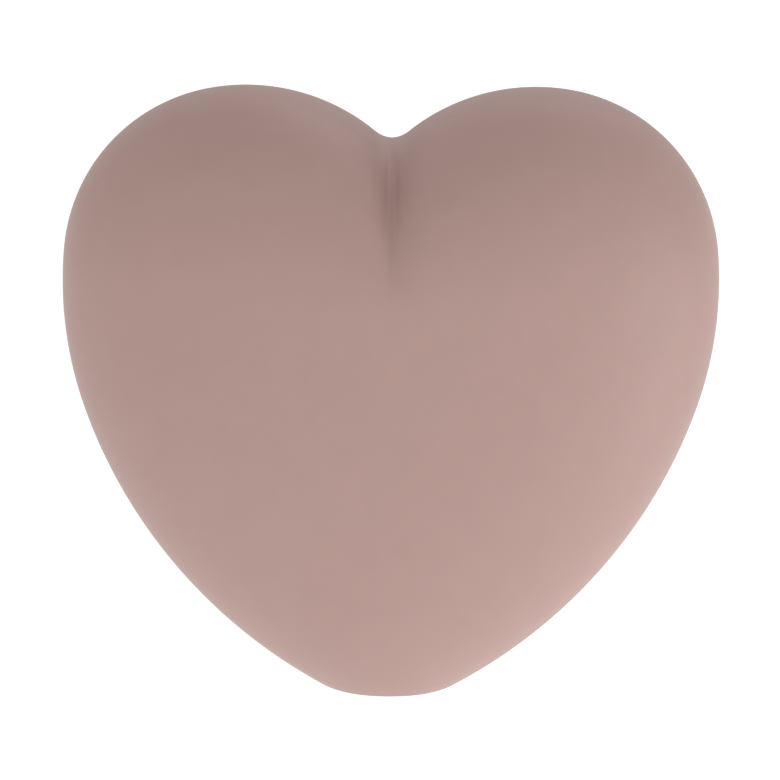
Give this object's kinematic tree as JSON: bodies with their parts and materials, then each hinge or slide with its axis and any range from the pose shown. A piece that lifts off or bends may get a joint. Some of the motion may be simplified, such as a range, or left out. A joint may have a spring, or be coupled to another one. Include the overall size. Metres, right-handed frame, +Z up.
{
  "type": "sky lantern",
  "caption": "Heart-shaped paper sky lantern with an open mouth, a split-bamboo hoop, crossed wires and a waxed fuel cell held by two folding wire tails.",
  "frame": {"origin": "middle of the mouth, on the plane of the hem's foot that the lantern stands on", "axes": "+Z up towards the heart's notch, the front of the heart faces -Y, +X to the right seen from the front, and the glued seam lies in the XZ plane"},
  "size_m": [0.9994, 0.48, 0.9273],
  "materials": {
    "tissue_paper": "satin",
    "strip_paper": "matte",
    "split_bamboo": "satin",
    "cotton_thread": "matte",
    "iron_wire": "satin",
    "waxed_pad": "satin"
  },
  "bodies": {
    "lantern": {"front_panel": "tissue_paper", "rear_panel": "tissue_paper", "left_seam_strip": "strip_paper", "right_seam_strip": "strip_paper", "notch_patch": "strip_paper", "mouth_hem": "tissue_paper", "bamboo_hoop": "split_bamboo", "hoop_lashings": "cotton_thread", "left_right_wire": "iron_wire", "front_rear_wire": "iron_wire", "centre_binding": "iron_wire", "cell_hairpin": "iron_wire"},
    "fuel_cell": {"fuel_pad": "waxed_pad", "cotton_tie": "cotton_thread"},
    "left_tail": {"left_tail": "iron_wire"},
    "right_tail": {"right_tail": "iron_wire"}
  },
  "joints": [
    {"name": "cell_lift", "type": "slide", "parent": "lantern", "child": "fuel_cell", "axis": [0, 0, 1], "range_m": [0, 0.05]},
    {"name": "left_tail_fold", "type": "hinge", "parent": "lantern", "child": "left_tail", "pos_m": [-0.00184, -0.00184, 0.02], "axis": [0.7071, -0.7071, 0], "range_deg": [0, 85]},
    {"name": "right_tail_fold", "type": "hinge", "parent": "lantern", "child": "right_tail", "pos_m": [0.00184, 0.00184, 0.02], "axis": [-0.7071, 0.7071, 0], "range_deg": [0, 85]}
  ]
}
